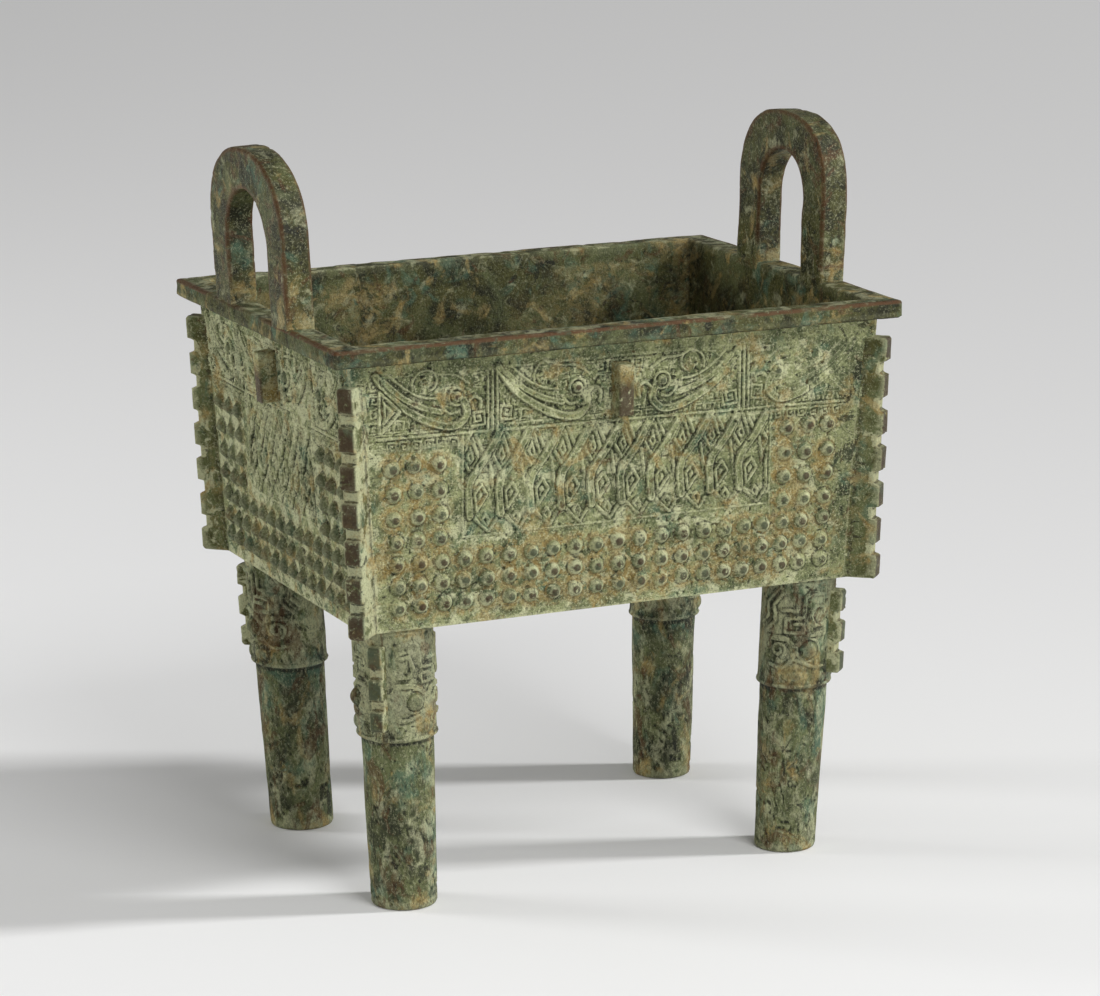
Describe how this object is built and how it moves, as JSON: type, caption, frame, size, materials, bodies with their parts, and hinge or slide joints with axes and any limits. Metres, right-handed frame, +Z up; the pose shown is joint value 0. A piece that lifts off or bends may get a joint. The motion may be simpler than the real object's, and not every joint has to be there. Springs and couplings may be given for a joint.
{
  "type": "square footed vessel",
  "caption": "Square cast-bronze ritual cauldron on round legs, with upright loop handles, toothed corner flanges, bosses and a dragon frieze.",
  "frame": {"origin": "on the ground, under the middle of the vessel", "axes": "+Z up; +X along the long side towards one handle; -Y towards the front"},
  "size_m": [0.2158, 0.1586, 0.2589],
  "materials": {
    "patinated_bronze": "green and cream patina with dark worn high points"
  },
  "bodies": {
    "root": {"square_ding": "patinated_bronze"}
  },
  "joints": []
}
